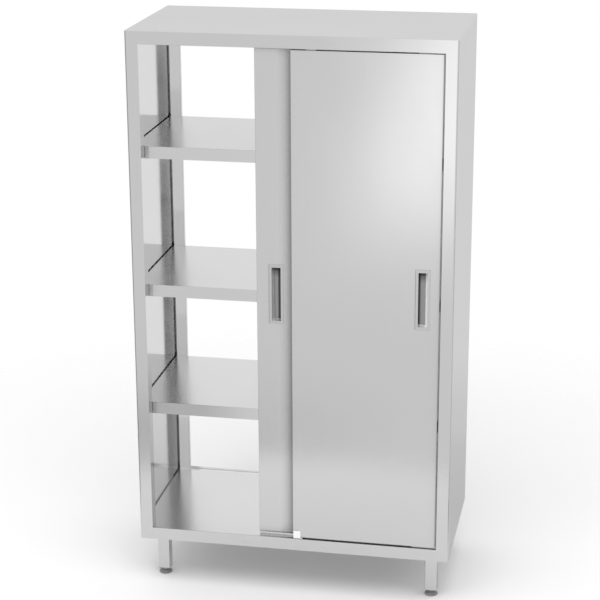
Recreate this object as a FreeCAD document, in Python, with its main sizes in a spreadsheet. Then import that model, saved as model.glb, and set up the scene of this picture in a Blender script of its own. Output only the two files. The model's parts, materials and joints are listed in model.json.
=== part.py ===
"""Stainless steel storage cabinet with two sliding doors, on four adjustable legs.

Millimetres. +Z is up, +X to the right seen from the front, and the front faces -Y. The origin
is on the floor, in the middle of the footprint. Two doors hang on rollers in a double track
inside the top front rail: the right door on the front run, closed, and the left door on the
rear run, slid open behind it.
"""
import FreeCAD, Part
import math
import os
import re
import Sketcher
from FreeCAD import Vector

# ---------------------------------------------------------------- driving sizes
SIZES = {
    # overall
    "width": 1000, "depth": 500, "height": 1800,
    "leg_rise": 150,            # floor to the underside of the frame
    # welded frame and its skins
    "tube": 40, "tube_wall": 1.5,
    "rear_tube": 13,            # front to back of the rear posts and rails, with the panels' returns
    "corner_round": 4.5,        # outer corners of the posts; the side panels start behind it
    "top_round": 1.3,
    "edge_round": 0.8,          # edges round the door opening
    "skin": 1,                  # side panels
    "skin_round": 0.4,
    "top_sheet": 1.5,
    "sheet": 1.2,               # deck and shelves
    "side_gap": 4,              # shelves, deck and rear posts to the side panels
    "notch_gap": 0.5,           # sheets round the posts
    # deck and shelves
    "deck_rear_inset": 1, "deck_upturn": 7,
    "upper_shelf_height": 1441, "middle_shelf_height": 1000, "lower_shelf_height": 608,
    "shelf_lip": 38, "shelf_hem": 12, "bend_round": 1,
    "shelf_front_gap": 3,       # lip to the backs of the front posts, or to the rear door
    "stiffener_width": 60, "stiffener_depth": 22, "stiffener_flange": 15,
    "bracket_width": 30, "bracket_reach": 20, "bracket_thickness": 2,
    # legs and feet
    "leg": 38, "leg_wall": 1.5, "leg_round": 3,
    "leg_setback": 55,          # front of the cabinet to the front of a leg
    "leg_beam_width": 100, "leg_beam_height": 30, "leg_beam_wall": 2,
    "insert_flange": 2, "insert_depth": 20,
    "stem_radius": 5, "stem_fit": 0.05, "stem_top": 75, "stem_seat": 4,
    "nut_radius": 9.8, "nut_height": 5,
    "nut_gap": 2.5,             # hexagon to the leg's insert
    "pad_radius": 21, "pad_height": 12, "pad_rim": 5, "pad_neck": 9.5, "pad_edge": 1.5,
    # double track and its fixings
    "track_height": 26, "track_wall": 1.5, "track_lip": 2, "track_end_gap": 1,
    "track_slot_gap": 1.5,      # hanger plate to the lips
    "rivet_radius": 1.6, "rivet_head_gap": 0.2, "rivet_head_height": 1, "rivet_end": 60,
    "stop_length": 12, "stop_fit": 0.3,
    # doors
    "door_thickness": 16, "door_skin": 1, "door_setback": 3,
    "door_top_gap": 4, "door_bottom_gap": 5, "door_side_gap": 2.5,
    "door_gap": 4,              # right door's back to the left door's face
    "door_round": 0.8, "door_fit": 0.3, "core_gap": 1,
    "right_door_start": 3,      # closed right door's free edge, right of the middle
    "door_overlap": 30.5,       # closed left door's free edge, behind the right door
    "left_door_rest": 79,       # left door to the right post, as it stands open
    "left_door_spare": 25,      # how much further it can open
    "right_door_park": 32,      # right door to the left post, when it is open
    # hangers and rollers
    "hanger_inset": 60, "hanger_width": 30, "hanger_plate": 2, "hanger_drop": 40,
    "hanger_jog": 10, "hanger_crown": 6, "hanger_slot_gap": 0.5,
    "roller_radius": 7, "roller_width": 4, "roller_gap": 0.5, "roller_side_gap": 0.5,
    "roller_bore_fit": 0.05, "roller_seat": 0.3, "roller_groove": 0.8, "pin_radius": 2,
    "screw_radius": 2, "screw_head": 3.8, "screw_head_height": 1.4, "screw_pitch": 14,
    "screw_rise": 8,
    # recessed handles
    "mouth_width": 28, "mouth_length": 171,
    "handle_side_rim": 8.5, "handle_end_rim": 9.5, "handle_flange": 1.2, "handle_edge": 0.8,
    "cup_wall": 1.2, "cup_back_gap": 2.3,
    "cup_undercut": 5, "cup_slope": 8, "cup_lip": 1.2, "cup_fit": 0.4,
    "right_handle_inset": 51, "left_handle_inset": 61,
    "right_handle_height": 1010, "left_handle_height": 997,
    # nylon guide on the sill
    "guide_start": 1.5, "guide_length": 29, "guide_ear": 23, "guide_base": 3,
    "guide_height": 27, "guide_fit": 0.3, "guide_setback": 0.2, "guide_fin": 2.5,
    "guide_screw_radius": 1.5, "guide_screw_head": 2.8, "guide_screw_inset": 4.4,
    "guide_screw_length": 14,
}
TRACK_RIVETS = 5

# places and sizes worked out from the ones above, as formulas in the same names
LINKS = {
    "front": "0 - depth/2",
    "back": "depth/2",
    "frame_x": "width/2 - skin",
    "inner_x": "width/2 - skin - tube",
    "shelf_x": "width/2 - skin - side_gap",
    "frame_top": "height - top_sheet",
    "opening_low": "leg_rise + tube",
    "opening_high": "height - tube",
    "rear_posts": "back - rear_tube",
    "bay_depth": "depth - tube - rear_tube",
    "leg_x": "inner_x - leg/2",
    "leg_y": "depth/2 - leg_setback - leg/2",
    "leg_clearance": "pad_height + nut_height + nut_gap + insert_flange",
    "run_pitch": "door_thickness + door_gap",
    "track_channel": "hanger_plate + 2*(roller_gap + roller_width + roller_side_gap)",
    "track_slot": "hanger_plate + 2*track_slot_gap",
    "track_width": "run_pitch + track_channel + 2*track_wall",
    "track_low": "frame_top - tube_wall - track_height",
    "door_low": "opening_low + door_bottom_gap",
    "door_height": "opening_high - door_top_gap - door_low",
    "front_run": "front + door_setback + door_thickness/2",
    "rear_run": "front_run + run_pitch",
    "rivet_y": "front_run + run_pitch/2",
    "rivet_head": "(run_pitch - track_channel)/2 - track_wall - rivet_head_gap",
    "top_rail_depth": "max(tube; rivet_y + track_width/2 + tube_wall - front)",
    "shelf_front": "max(front + tube; rear_run + door_thickness/2) + shelf_front_gap",
    "door_end": "inner_x - door_side_gap",
    "right_door_x": "right_door_start",
    "right_door_width": "door_end - right_door_start",
    "right_door_travel": "inner_x + right_door_start - right_door_park",
    "left_door_width": "door_end + right_door_start + door_overlap",
    "left_door_x": "inner_x - left_door_rest - left_door_width",
    "axle_height": "track_low + track_lip + roller_seat + roller_radius",
    "guide_x": "right_door_x + guide_start",
    "handle_width": "mouth_width + 2*handle_side_rim",
    "handle_length": "mouth_length + 2*handle_end_rim",
    "cup_depth": "door_thickness - door_skin - cup_back_gap - cup_wall",
    "cup_left": "mouth_width/2 + cup_undercut + cup_wall",
    "cup_right": "mouth_width/2 + cup_wall",
}

doc = FreeCAD.newDocument("sliding_door_cabinet")
sheet = doc.addObject("Spreadsheet::Sheet", "Sizes")
for row, (alias, number) in enumerate(SIZES.items(), start=1):
    sheet.set(f"A{row}", alias)
    sheet.set(f"B{row}", str(number))
    sheet.setAlias(f"B{row}", alias)
doc.recompute()

subparts = {}


# ---------------------------------------------------------------- helpers
def spelled(formula):
    """The formula with every size read from the sheet and every linked place written out."""
    def put(match):
        name = match.group(0)
        if name in LINKS:
            return "(" + spelled(LINKS[name]) + ")"
        return "Sizes." + name if name in SIZES else name
    return re.sub(r"[a-z][a-z_]*", put, str(formula))


def bind(item, **formulas):
    """Bind properties of a document object to formulas; a double underscore is a dot."""
    for name, formula in formulas.items():
        item.setExpression(name.replace("__", "."), spelled(formula))
    return item


def place(item, x=0, y=0, z=0):
    return bind(item, Placement__Base__x=x, Placement__Base__y=y, Placement__Base__z=z)


def keep(label, item):
    """Give a finished sub-part its own name and list it for export."""
    item.Label = label
    subparts[label] = item
    return item


def new_body():
    return doc.addObject("PartDesign::Body", "Body")


def sketch(body, plane, offset=0):
    """A sketch on one of the body's own origin planes, moved along the plane's normal."""
    item = body.newObject("Sketcher::SketchObject", "Sketch")
    support = next(f for f in body.Origin.OriginFeatures if f.Role == plane + "_Plane")
    item.AttachmentSupport = [(support, "")]
    item.MapMode = "FlatFace"
    toward = "0 - (" + str(offset) + ")" if plane == "XZ" else offset
    return bind(item, AttachmentOffset__Base__z=toward)


def outline(item, corners):
    """A closed run of lines, each corner held by its two distances from the origin."""
    count, first = len(corners), item.GeometryCount
    turn = 2 * math.pi / count
    ring = [Vector(math.cos(turn * k), math.sin(turn * k)) * (10 + first) for k in range(count)]
    for k in range(count):
        item.addGeometry(Part.LineSegment(ring[k], ring[(k + 1) % count]))
    for k in range(count):
        item.addConstraint(Sketcher.Constraint("Coincident", first + k, 2, first + (k + 1) % count, 1))
    for k, corner in enumerate(corners):
        for kind, start, formula in zip(("DistanceX", "DistanceY"), (ring[k].x, ring[k].y), corner):
            index = item.addConstraint(Sketcher.Constraint(kind, -1, 1, first + k, 1, start))
            item.setExpression(f"Constraints[{index}]", spelled(formula))
    return item


def rectangle(item, x_low, x_high, y_low, y_high):
    return outline(item, [(x_low, y_low), (x_high, y_low), (x_high, y_high), (x_low, y_high)])


def circle(item, x, y, radius):
    """A circle held by its centre's distances from the origin and its radius."""
    index = item.addGeometry(Part.Circle(Vector(1, 1), Vector(0, 0, 1), 1))
    for kind, formula in (("DistanceX", x), ("DistanceY", y)):
        mark = item.addConstraint(Sketcher.Constraint(kind, -1, 1, index, 3, 1.0))
        item.setExpression(f"Constraints[{mark}]", spelled(formula))
    mark = item.addConstraint(Sketcher.Constraint("Radius", index, 1.0))
    item.setExpression(f"Constraints[{mark}]", spelled(radius))
    return item


def pad(body, profile, length):
    """Pad a sketch towards +X, +Y or +Z, whichever its plane faces."""
    feature = body.newObject("PartDesign::Pad", "Pad")
    feature.Profile = profile
    feature.Reversed = profile.AttachmentSupport[0][0].Role == "XZ_Plane"
    bind(feature, Length=length)
    doc.recompute()
    return feature


def pocket(body, profile, length):
    """Cut a sketch towards +X, +Y or +Z, and make sure that something was cut."""
    before = body.Shape.Volume
    feature = body.newObject("PartDesign::Pocket", "Pocket")
    feature.Profile = profile
    feature.Reversed = profile.AttachmentSupport[0][0].Role != "XZ_Plane"
    bind(feature, Length=length)
    doc.recompute()
    if not body.Shape.Volume < before - 1e-6:
        raise RuntimeError(f"{body.Label}: {feature.Name} cuts nothing")
    return feature


def edges_where(feature, test):
    """Names of the straight edges whose two ends both pass the test."""
    names = []
    for number, edge in enumerate(feature.Shape.Edges, start=1):
        ends = [vertex.Point for vertex in edge.Vertexes]
        if len(ends) == 2 and all(test(point, ends[1] - ends[0]) for point in ends):
            names.append(f"Edge{number}")
    return names


def round_edges(body, feature, test, radius):
    rounding = body.newObject("PartDesign::Fillet", "Fillet")
    rounding.Base = (feature, edges_where(feature, test))
    bind(rounding, Radius=radius)
    doc.recompute()
    return rounding


def near(a, b):
    return abs(a - b) < 1e-4


def upright(run):
    return near(run.x, 0) and near(run.y, 0)


def along_x(run):
    return near(run.y, 0) and near(run.z, 0)


def tube_ring(item, across, deep, wall):
    """The hollow section of a rectangular tube, from the sketch's origin."""
    rectangle(item, 0, across, 0, deep)
    inner_x, inner_y = f"({across}) - {wall}", f"({deep}) - {wall}"
    return rectangle(item, wall, inner_x, wall, inner_y)


def mirrored(side, formula, size=0):
    """A low corner on the left, or its mirror image on the right for a piece of this size."""
    return f"0 - ({formula})" if side == "left" else f"({formula}) - ({size})"


def group(label, items):
    """Separate solids kept together as one node."""
    compound = doc.addObject("Part::Compound", "Group")
    compound.Links = items
    return keep(label, compound)


# ---------------------------------------------------------------- frame
def post(label, side, end):
    """A corner post. Rear posts stand clear of the side panel and inside its return.

    A front post keeps a crisp edge at the opening, where the rails are ground flush with it.
    """
    across = "tube" if end == "front" else "tube - side_gap"
    deep = "tube" if end == "front" else "rear_tube - skin"
    body = new_body()
    tube = pad(body, tube_ring(sketch(body, "XY"), across, deep, "tube_wall"), "frame_top - leg_rise")
    span_x, span_y = body.Shape.BoundBox.XMax, body.Shape.BoundBox.YMax
    outer_x, outer_y = (0 if side == "left" else span_x), (0 if end == "front" else span_y)

    def on_corner(point, run, corner):
        on_outside = (near(point.x, 0) or near(point.x, span_x)) and (near(point.y, 0) or near(point.y, span_y))
        is_outer = near(point.x, outer_x) and near(point.y, outer_y)
        is_flush = end == "front" and near(point.y, 0) and not is_outer
        return upright(run) and on_outside and is_outer == corner and not is_flush
    crisp = round_edges(body, tube, lambda p, run: on_corner(p, run, False), "edge_round")
    round_edges(body, crisp, lambda p, run: on_corner(p, run, True), "corner_round")
    x = mirrored(side, "frame_x" if end == "front" else "shelf_x", across)
    place(body, x, "front" if end == "front" else "rear_posts", "leg_rise")
    keep(label, body)


def cross_rail(label, end, level):
    """A rail between two posts at the front or the rear. The top front one is open below."""
    height = "tube - top_sheet" if level == "top" else "tube - sheet"
    body = new_body()
    section = sketch(body, "YZ")
    if (end, level) == ("front", "top"):
        deep = "top_rail_depth"
        outline(section, [(0, 0), ("tube_wall", 0), ("tube_wall", f"{height} - tube_wall"),
                          (f"{deep} - tube_wall", f"{height} - tube_wall"), (f"{deep} - tube_wall", 0),
                          (deep, 0), (deep, height), (0, height)])
    else:
        tube_ring(section, "tube" if end == "front" else "rear_tube", height, "tube_wall")
    bar = pad(body, section, "2*inner_x")
    edge_z = 0
    face_y = 0 if end == "front" else body.Shape.BoundBox.YMax
    edges = lambda p, run: along_x(run) and near(p.y, face_y) and near(p.z, edge_z)
    round_edges(body, bar, edges, "edge_round")
    if (end, level) == ("front", "top"):
        holes = sketch(body, "XY", f"{height} - tube_wall")
        for number in range(TRACK_RIVETS):
            circle(holes, rivet_x(number, "0"), "rivet_y - front", "rivet_radius")
        pocket(body, holes, "tube_wall")
    if (end, level) == ("front", "bottom"):
        holes = sketch(body, "XY", f"{height} - tube_wall")
        for run in ("front_run", "rear_run"):
            circle(holes, "guide_x + guide_length - guide_screw_inset + inner_x", f"{run} - front",
                   "guide_screw_radius")
        pocket(body, holes, "tube_wall")
    place(body, "0 - inner_x", "front" if end == "front" else "rear_posts",
          "opening_high" if level == "top" else "leg_rise")
    keep(label, body)


def side_rail(label, side, level):
    """A rail between the front and rear posts, clear of the side panel."""
    height = "tube - top_sheet" if level == "top" else "tube - sheet"
    body = new_body()
    pad(body, tube_ring(sketch(body, "XZ"), "tube - side_gap", height, "tube_wall"), "bay_depth")
    place(body, mirrored(side, "shelf_x", "tube - side_gap"), "front + tube",
          "opening_high" if level == "top" else "leg_rise")
    keep(label, body)


def side_panel(label, side):
    """An outer skin whose rear edge is folded in behind the rear post."""
    hand = 1 if side == "left" else -1
    body = new_body()
    plan = [(0, "corner_round"), (f"{hand}*skin", "corner_round"), (f"{hand}*skin", "depth - skin"),
            (f"{hand}*(tube + skin)", "depth - skin"), (f"{hand}*(tube + skin)", "depth"), (0, "depth")]
    if side == "right":
        plan.reverse()
    folded = pad(body, outline(sketch(body, "XY"), plan), "frame_top - leg_rise")
    front_y, back_y = body.Shape.BoundBox.YMin, body.Shape.BoundBox.YMax
    edges = lambda p, run: upright(run) and near(p.x, 0) and (near(p.y, front_y) or near(p.y, back_y))
    round_edges(body, folded, edges, "skin_round")
    place(body, "0 - width/2" if side == "left" else "width/2", "front", "leg_rise")
    keep(label, body)


def top_panel():
    body = new_body()
    plate = pad(body, rectangle(sketch(body, "XY"), "0 - width/2", "width/2", "front", "back"), "top_sheet")
    high = body.Shape.BoundBox.ZMax
    round_edges(body, plate, lambda p, run: near(p.z, high) and near(run.z, 0), "top_round")
    place(body, 0, 0, "frame_top")
    keep("top_panel", body)


# ---------------------------------------------------------------- deck and shelves
def bottom_deck():
    """The cabinet's floor: cut out round the posts, with a small upturn along the back."""
    body = new_body()
    inside, front_notch = "inner_x - notch_gap", "front + tube + notch_gap"
    rear_notch, rear = "rear_posts - notch_gap", "back - deck_rear_inset"
    plan = [(f"0 - ({inside})", "front"), (inside, "front"), (inside, front_notch), ("shelf_x", front_notch),
            ("shelf_x", rear_notch), (inside, rear_notch), (inside, rear), (f"0 - ({inside})", rear),
            (f"0 - ({inside})", rear_notch), ("0 - shelf_x", rear_notch), ("0 - shelf_x", front_notch),
            (f"0 - ({inside})", front_notch)]
    plate = pad(body, outline(sketch(body, "XY"), plan), "sheet")
    high, low_y = body.Shape.BoundBox.ZMax, body.Shape.BoundBox.YMin
    round_edges(body, plate, lambda p, run: along_x(run) and near(p.z, high) and near(p.y, low_y), "edge_round")
    upturn = sketch(body, "XY", "sheet")
    rectangle(upturn, f"0 - ({inside})", inside, f"{rear} - sheet", rear)
    pad(body, upturn, "deck_upturn")
    holes = sketch(body, "XY")
    for run in ("front_run", "rear_run"):
        circle(holes, "guide_x + guide_length - guide_screw_inset", run, "guide_screw_radius")
    pocket(body, holes, "sheet")
    place(body, 0, 0, "opening_low - sheet")
    keep("bottom_deck", body)


def shelf_plan(item, inset):
    """A shelf's outline, up to the rear posts, drawn in by the inset."""
    side = f"shelf_x - {inset}"
    return rectangle(item, f"0 - ({side})", side, f"shelf_front + {inset}", f"rear_posts - notch_gap - {inset}")


def shelf(label, height):
    """A folded tray, open below, whose front lip ends in a hem turned inwards."""
    body = new_body()
    block = pad(body, shelf_plan(sketch(body, "XY"), "0"), "shelf_lip")
    high, low_y = body.Shape.BoundBox.ZMax, body.Shape.BoundBox.YMin
    bend = lambda p, run: along_x(run) and near(p.z, high) and near(p.y, low_y)
    round_edges(body, block, bend, "bend_round")
    pocket(body, shelf_plan(sketch(body, "XY"), "sheet"), "shelf_lip - sheet")
    hem = sketch(body, "XY")
    rectangle(hem, "0 - shelf_x + sheet", "shelf_x - sheet",
              "shelf_front + sheet", "shelf_front + shelf_hem")
    pad(body, hem, "sheet")
    place(body, 0, 0, f"{height} - shelf_lip")
    keep(label, body)


def stiffener(height):
    """A top-hat section under a shelf, from side flange to side flange."""
    half, web = "stiffener_width/2", "stiffener_width/2 - stiffener_flange"
    body = new_body()
    outline(profile := sketch(body, "YZ"),
            [(f"0 - {half}", 0), (f"0 - {half}", "0 - sheet"), (f"0 - ({web}) - sheet", "0 - sheet"),
             (f"0 - ({web}) - sheet", "0 - stiffener_depth"), (f"{web} + sheet", "0 - stiffener_depth"),
             (f"{web} + sheet", "0 - sheet"), (half, "0 - sheet"), (half, 0), (web, 0),
             (web, "sheet - stiffener_depth"), (f"0 - ({web})", "sheet - stiffener_depth"),
             (f"0 - ({web})", 0)])
    pad(body, profile, "2*(shelf_x - sheet)")
    return place(body, "sheet - shelf_x", 0, f"{height} - sheet")


def bracket(side, end, height):
    """An angle on a post that a corner of a shelf rests on."""
    toward = "" if end == "front" else "0 - "
    body = new_body()
    outline(profile := sketch(body, "YZ"),
            [(0, "0 - bracket_reach"), (f"{toward}bracket_thickness", "0 - bracket_reach"),
             (f"{toward}bracket_thickness", "0 - bracket_thickness"),
             (f"{toward}bracket_reach", "0 - bracket_thickness"), (f"{toward}bracket_reach", 0), (0, 0)])
    pad(body, profile, "bracket_width")
    return place(body, mirrored(side, "shelf_x", "bracket_width"),
                 "front + tube" if end == "front" else "rear_posts", f"{height} - shelf_lip")


# ---------------------------------------------------------------- legs and feet
def leg_beam(label, side):
    """A channel under the deck that carries a front and a rear leg."""
    body = new_body()
    wall, high = "leg_beam_wall", "leg_beam_height"
    outline(profile := sketch(body, "XZ"),
            [(0, 0), ("leg_beam_width", 0), ("leg_beam_width", high), (f"leg_beam_width - {wall}", high),
             (f"leg_beam_width - {wall}", wall), (wall, wall), (wall, high), (0, high)])
    pad(body, profile, "bay_depth")
    place(body, mirrored(side, "inner_x", "leg_beam_width"), "front + tube", "leg_rise")
    keep(label, body)


def leg_place(item, side, end, z):
    x = "0 - leg_x" if side == "left" else "leg_x"
    return place(item, x, "0 - leg_y" if end == "front" else "leg_y", z)


def leg(label, side, end):
    body = new_body()
    section = sketch(body, "XY")
    for reach in ("leg/2", "leg/2 - leg_wall"):
        rectangle(section, f"0 - ({reach})", reach, f"0 - ({reach})", reach)
    tube = pad(body, section, "leg_rise - leg_clearance")
    span = body.Shape.BoundBox.XMax
    outer = lambda p, run: upright(run) and near(abs(p.x), span) and near(abs(p.y), span)
    round_edges(body, tube, outer, "leg_round")
    keep(label, leg_place(body, side, end, "leg_clearance"))


def leg_insert(side, end):
    """A threaded plug pushed into the leg, with a flange that covers the tube's end."""
    body = new_body()
    flange = pad(body, rectangle(sketch(body, "XY"), "0 - leg/2", "leg/2", "0 - leg/2", "leg/2"),
                 "insert_flange")
    round_edges(body, flange, lambda p, run: upright(run), "leg_round")
    inside = "leg/2 - leg_wall"
    plug = sketch(body, "XY", "insert_flange")
    pad(body, rectangle(plug, f"0 - ({inside})", inside, f"0 - ({inside})", inside), "insert_depth")
    bore = circle(sketch(body, "XY"), 0, 0, "stem_radius + stem_fit")
    pocket(body, bore, "insert_flange + insert_depth")
    return leg_place(body, side, end, "leg_clearance - insert_flange")


def turned(body, half_section):
    """A piece turned from a sketch of half its section about the sketch's upright axis."""
    feature = body.newObject("PartDesign::Revolution", "Revolution")
    feature.Profile = half_section
    feature.ReferenceAxis = (half_section, ["V_Axis"])
    feature.Angle = 360
    doc.recompute()
    return body


def foot_stem(label, side, end):
    """A threaded stem with a hexagon at its foot, for setting the height with a spanner."""
    body = new_body()
    pad(body, circle(sketch(body, "XY"), 0, 0, "stem_radius"), "stem_top - stem_seat")
    nut = sketch(body, "XY", "pad_height - stem_seat")
    corners = [(f"nut_radius*cos({60 * k} deg)", f"nut_radius*sin({60 * k} deg)") for k in range(6)]
    pad(body, outline(nut, corners), "nut_height")
    keep(label, leg_place(body, side, end, "stem_seat"))


def foot_pad(label, side, end):
    """A round foot with a sloping shoulder and a socket for the stem."""
    body = new_body()
    corners = [(0, 0), ("pad_radius - pad_edge", 0), ("pad_radius", "pad_edge"), ("pad_radius", "pad_rim"),
               ("pad_neck", "pad_height"), ("stem_radius", "pad_height"), ("stem_radius", "stem_seat"),
               (0, "stem_seat")]
    turned(body, outline(sketch(body, "XZ"), corners))
    keep(label, leg_place(body, side, end, 0))


# ---------------------------------------------------------------- track and guide
def rivet_x(number, start):
    """The rivets are spread evenly along the track, from a little way in at each end."""
    return f"{start} + rivet_end + {number}/{TRACK_RIVETS - 1}*(2*inner_x - 2*rivet_end)"


def door_track():
    """An extrusion with two channels, each with a slot below between two lips."""
    body = new_body()
    w, c, high, lip = "track_wall", "track_channel", "track_height", "(track_channel - track_slot)/2"
    section = []
    for start in ("0", "run_pitch"):
        section += [(start, 0), (f"{start} + {w} + {lip}", 0), (f"{start} + {w} + {lip}", "track_lip"),
                    (f"{start} + {w}", "track_lip"), (f"{start} + {w}", f"{high} - {w}"),
                    (f"{start} + {w} + {c}", f"{high} - {w}"), (f"{start} + {w} + {c}", "track_lip"),
                    (f"{start} + {w} + {c} - {lip}", "track_lip"), (f"{start} + {w} + {c} - {lip}", 0),
                    (f"{start} + 2*{w} + {c}", 0)]
        if start == "0":
            section += [(f"2*{w} + {c}", f"{high} - {w}"), ("run_pitch", f"{high} - {w}")]
    section += [("track_width", high), (0, high)]
    pad(body, outline(sketch(body, "YZ"), section), "2*(inner_x - track_end_gap)")
    holes = sketch(body, "XY", f"{high} - {w}")
    for number in range(TRACK_RIVETS):
        circle(holes, rivet_x(number, "0 - track_end_gap"), "track_width/2", "rivet_radius")
    pocket(body, holes, w)
    place(body, "track_end_gap - inner_x", "rivet_y - track_width/2", "track_low")
    keep("door_track", body)


def disc(radius, height, x, y, z):
    """A plain cylinder standing on its own place."""
    item = bind(doc.addObject("Part::Cylinder", "Cylinder"), Radius=radius, Height=height)
    return place(item, x, y, z)


def fused(*items):
    """Solids joined into one piece."""
    joined = doc.addObject("Part::MultiFuse", "Fusion")
    joined.Shapes = list(items)
    return joined


def track_rivets():
    """Blind rivets through the track and the rail above it, their heads between the runs."""
    rivets = []
    for number in range(TRACK_RIVETS):
        x, under = rivet_x(number, "0 - inner_x"), "frame_top - tube_wall - track_wall"
        shank = disc("rivet_radius", "tube_wall + track_wall", x, "rivet_y", under)
        head = disc("rivet_head", "rivet_head_height", x, "rivet_y", f"{under} - rivet_head_height")
        rivets.append(fused(shank, head))
    group("track_rivets", rivets)


def track_stops():
    """Rubber blocks in the runs, where a hanger meets them at each end of a door's travel."""
    inset = "hanger_inset - hanger_width/2"
    right_low = f"right_door_x - right_door_travel + {inset}"
    right_high = f"right_door_x + right_door_width - ({inset})"
    left_low = f"0 - door_end + {inset}"
    left_high = f"left_door_x + left_door_spare + left_door_width - ({inset})"
    blocks = []
    for run, low, high in (("front_run", right_low, right_high), ("rear_run", left_low, left_high)):
        for x in (f"{low} - stop_fit - stop_length", f"{high} + stop_fit"):
            body = new_body()
            section = sketch(body, "YZ")
            rectangle(section, "0 - track_channel/2", "track_channel/2", 0,
                      "track_height - track_wall - track_lip")
            pad(body, section, "stop_length")
            blocks.append(place(body, x, run, "track_low + track_lip"))
    group("track_stops", blocks)


def door_guide():
    """A nylon comb on the sill: three fins, with a door running in each slot between them."""
    body = new_body()
    front_fin = "front_run - door_thickness/2 - guide_fit"
    middle = ("front_run + door_thickness/2 + guide_fit", "rear_run - door_thickness/2 - guide_fit")
    rear_fin = "rear_run + door_thickness/2 + guide_fit"
    low, high = "front + guide_setback", f"{rear_fin} + guide_fin"
    base = sketch(body, "XY")
    pad(body, rectangle(base, 0, "guide_length", low, high), "guide_base")
    fins = sketch(body, "XY", "guide_base")
    for near_y, far_y in ((low, front_fin), middle, (rear_fin, high)):
        rectangle(fins, 0, "guide_ear", near_y, far_y)
    ears = pad(body, fins, "guide_height - guide_base")
    top = body.Shape.BoundBox.ZMax
    edges = lambda p, run: near(p.z, top) and near(run.x, 0) and near(run.z, 0)
    round_edges(body, ears, edges, "edge_round")
    for run in ("front_run", "rear_run"):
        x = "guide_length - guide_screw_inset"
        pocket(body, circle(sketch(body, "XY"), x, run, "guide_screw_radius"), "guide_base")
        sink = sketch(body, "XY", "guide_base - guide_screw_head/2")
        pocket(body, circle(sink, x, run, "guide_screw_head"), "guide_screw_head/2")
    place(body, "guide_x", 0, "opening_low")
    keep("door_guide", body)


def guide_screws():
    screws = []
    for run in ("front_run", "rear_run"):
        x, top = "guide_x + guide_length - guide_screw_inset", "opening_low + guide_base"
        head = disc("guide_screw_head", "guide_screw_head/2", x, run, f"{top} - guide_screw_head/2")
        shank = disc("guide_screw_radius", "guide_screw_length", x, run, f"{top} - guide_screw_length")
        screws.append(fused(head, shank))
    group("guide_screws", screws)


# ---------------------------------------------------------------- doors
def door_place(item, side, run, x=0, y=0, z=0):
    """Put a piece where it is in the door, from the door's own lower front left corner."""
    return place(item, f"{side}_door_x + {x}", f"{run} - door_thickness/2 + {y}", f"door_low + {z}")


def hanger_centres(side):
    return "hanger_inset", f"{side}_door_width - hanger_inset"


def handle_x(side):
    """The handle's middle from the door's left edge; each handle is near the edge that leads."""
    return f"{side}_door_width - {side}_handle_inset" if side == "right" else f"{side}_handle_inset"


def cup_span(side, clearance):
    """Low and high X of the cup in the door. Its undercut is on the side away from the edge."""
    low, high = ("cup_left", "cup_right") if side == "right" else ("cup_right", "cup_left")
    centre = handle_x(side)
    return f"{centre} - {low} - {clearance}", f"{centre} + {high} + {clearance}"


def cup_rise(side, clearance):
    centre, reach = f"{side}_handle_height - door_low", f"mouth_length/2 + cup_wall + {clearance}"
    return f"{centre} - ({reach})", f"{centre} + {reach}"


def door_outer_skin(side, run):
    """The front sheet folded back along all four edges, with the handle and hangers cut out."""
    wide, back_y = f"{side}_door_width", "door_thickness - door_skin"
    body = new_body()
    block = pad(body, rectangle(sketch(body, "XZ"), 0, wide, 0, "door_height"), "door_thickness")
    round_edges(body, block, lambda p, run_: near(p.y, 0) and near(run_.y, 0), "door_round")
    hollow = sketch(body, "XZ", "door_skin")
    rectangle(hollow, "door_skin", f"{wide} - door_skin", "door_skin", "door_height - door_skin")
    pocket(body, hollow, back_y)
    mouth = rectangle(sketch(body, "XZ"), *cup_span(side, "cup_fit"), *cup_rise(side, "cup_fit"))
    pocket(body, mouth, "door_skin")
    slots = sketch(body, "XY", "door_height - door_skin")
    for x in hanger_centres(side):
        half, deep = "hanger_width/2 + hanger_slot_gap", "hanger_plate/2 + hanger_slot_gap"
        rectangle(slots, f"{x} - ({half})", f"{x} + {half}",
                  f"door_thickness/2 - ({deep})", f"door_thickness/2 + {deep}")
    pocket(body, slots, "door_skin")
    keep(f"{side}_door_outer_skin", door_place(body, side, run))


def hanger_screw_places(side):
    """X and Z in the door of the two screws of each hanger."""
    rise = "door_height - door_skin - hanger_drop + screw_rise"
    return [(f"{x} + {k}*screw_pitch/2", rise) for x in hanger_centres(side) for k in (-1, 1)]


def door_inner_skin(side, run):
    """The flat sheet that closes the door's back."""
    edge = "door_skin + door_fit"
    body = new_body()
    plate = sketch(body, "XZ")
    rectangle(plate, edge, f"{side}_door_width - ({edge})", edge, f"door_height - ({edge})")
    pad(body, plate, "door_skin")
    holes = sketch(body, "XZ")
    for x, z in hanger_screw_places(side):
        circle(holes, x, z, "screw_radius")
    pocket(body, holes, "door_skin")
    keep(f"{side}_door_inner_skin", door_place(body, side, run, y="door_thickness - door_skin"))


def door_core(side, run):
    """A stiff board between the skins, cut away round the handle's cup and the hangers."""
    edge, thick = "door_skin + core_gap", "door_thickness - 2*door_skin"
    body = new_body()
    board = sketch(body, "XZ")
    rectangle(board, edge, f"{side}_door_width - ({edge})", edge, f"door_height - ({edge})")
    pad(body, board, thick)
    cup = rectangle(sketch(body, "XZ"), *cup_span(side, "core_gap"), *cup_rise(side, "core_gap"))
    pocket(body, cup, thick)
    notches = sketch(body, "XZ")
    for x in hanger_centres(side):
        half = "hanger_width/2 + core_gap"
        rectangle(notches, f"{x} - ({half})", f"{x} + {half}",
                  "door_height - door_skin - hanger_drop - core_gap", "door_height")
    pocket(body, notches, thick)
    keep(f"{side}_door_core", door_place(body, side, run, y="door_skin"))


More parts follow.
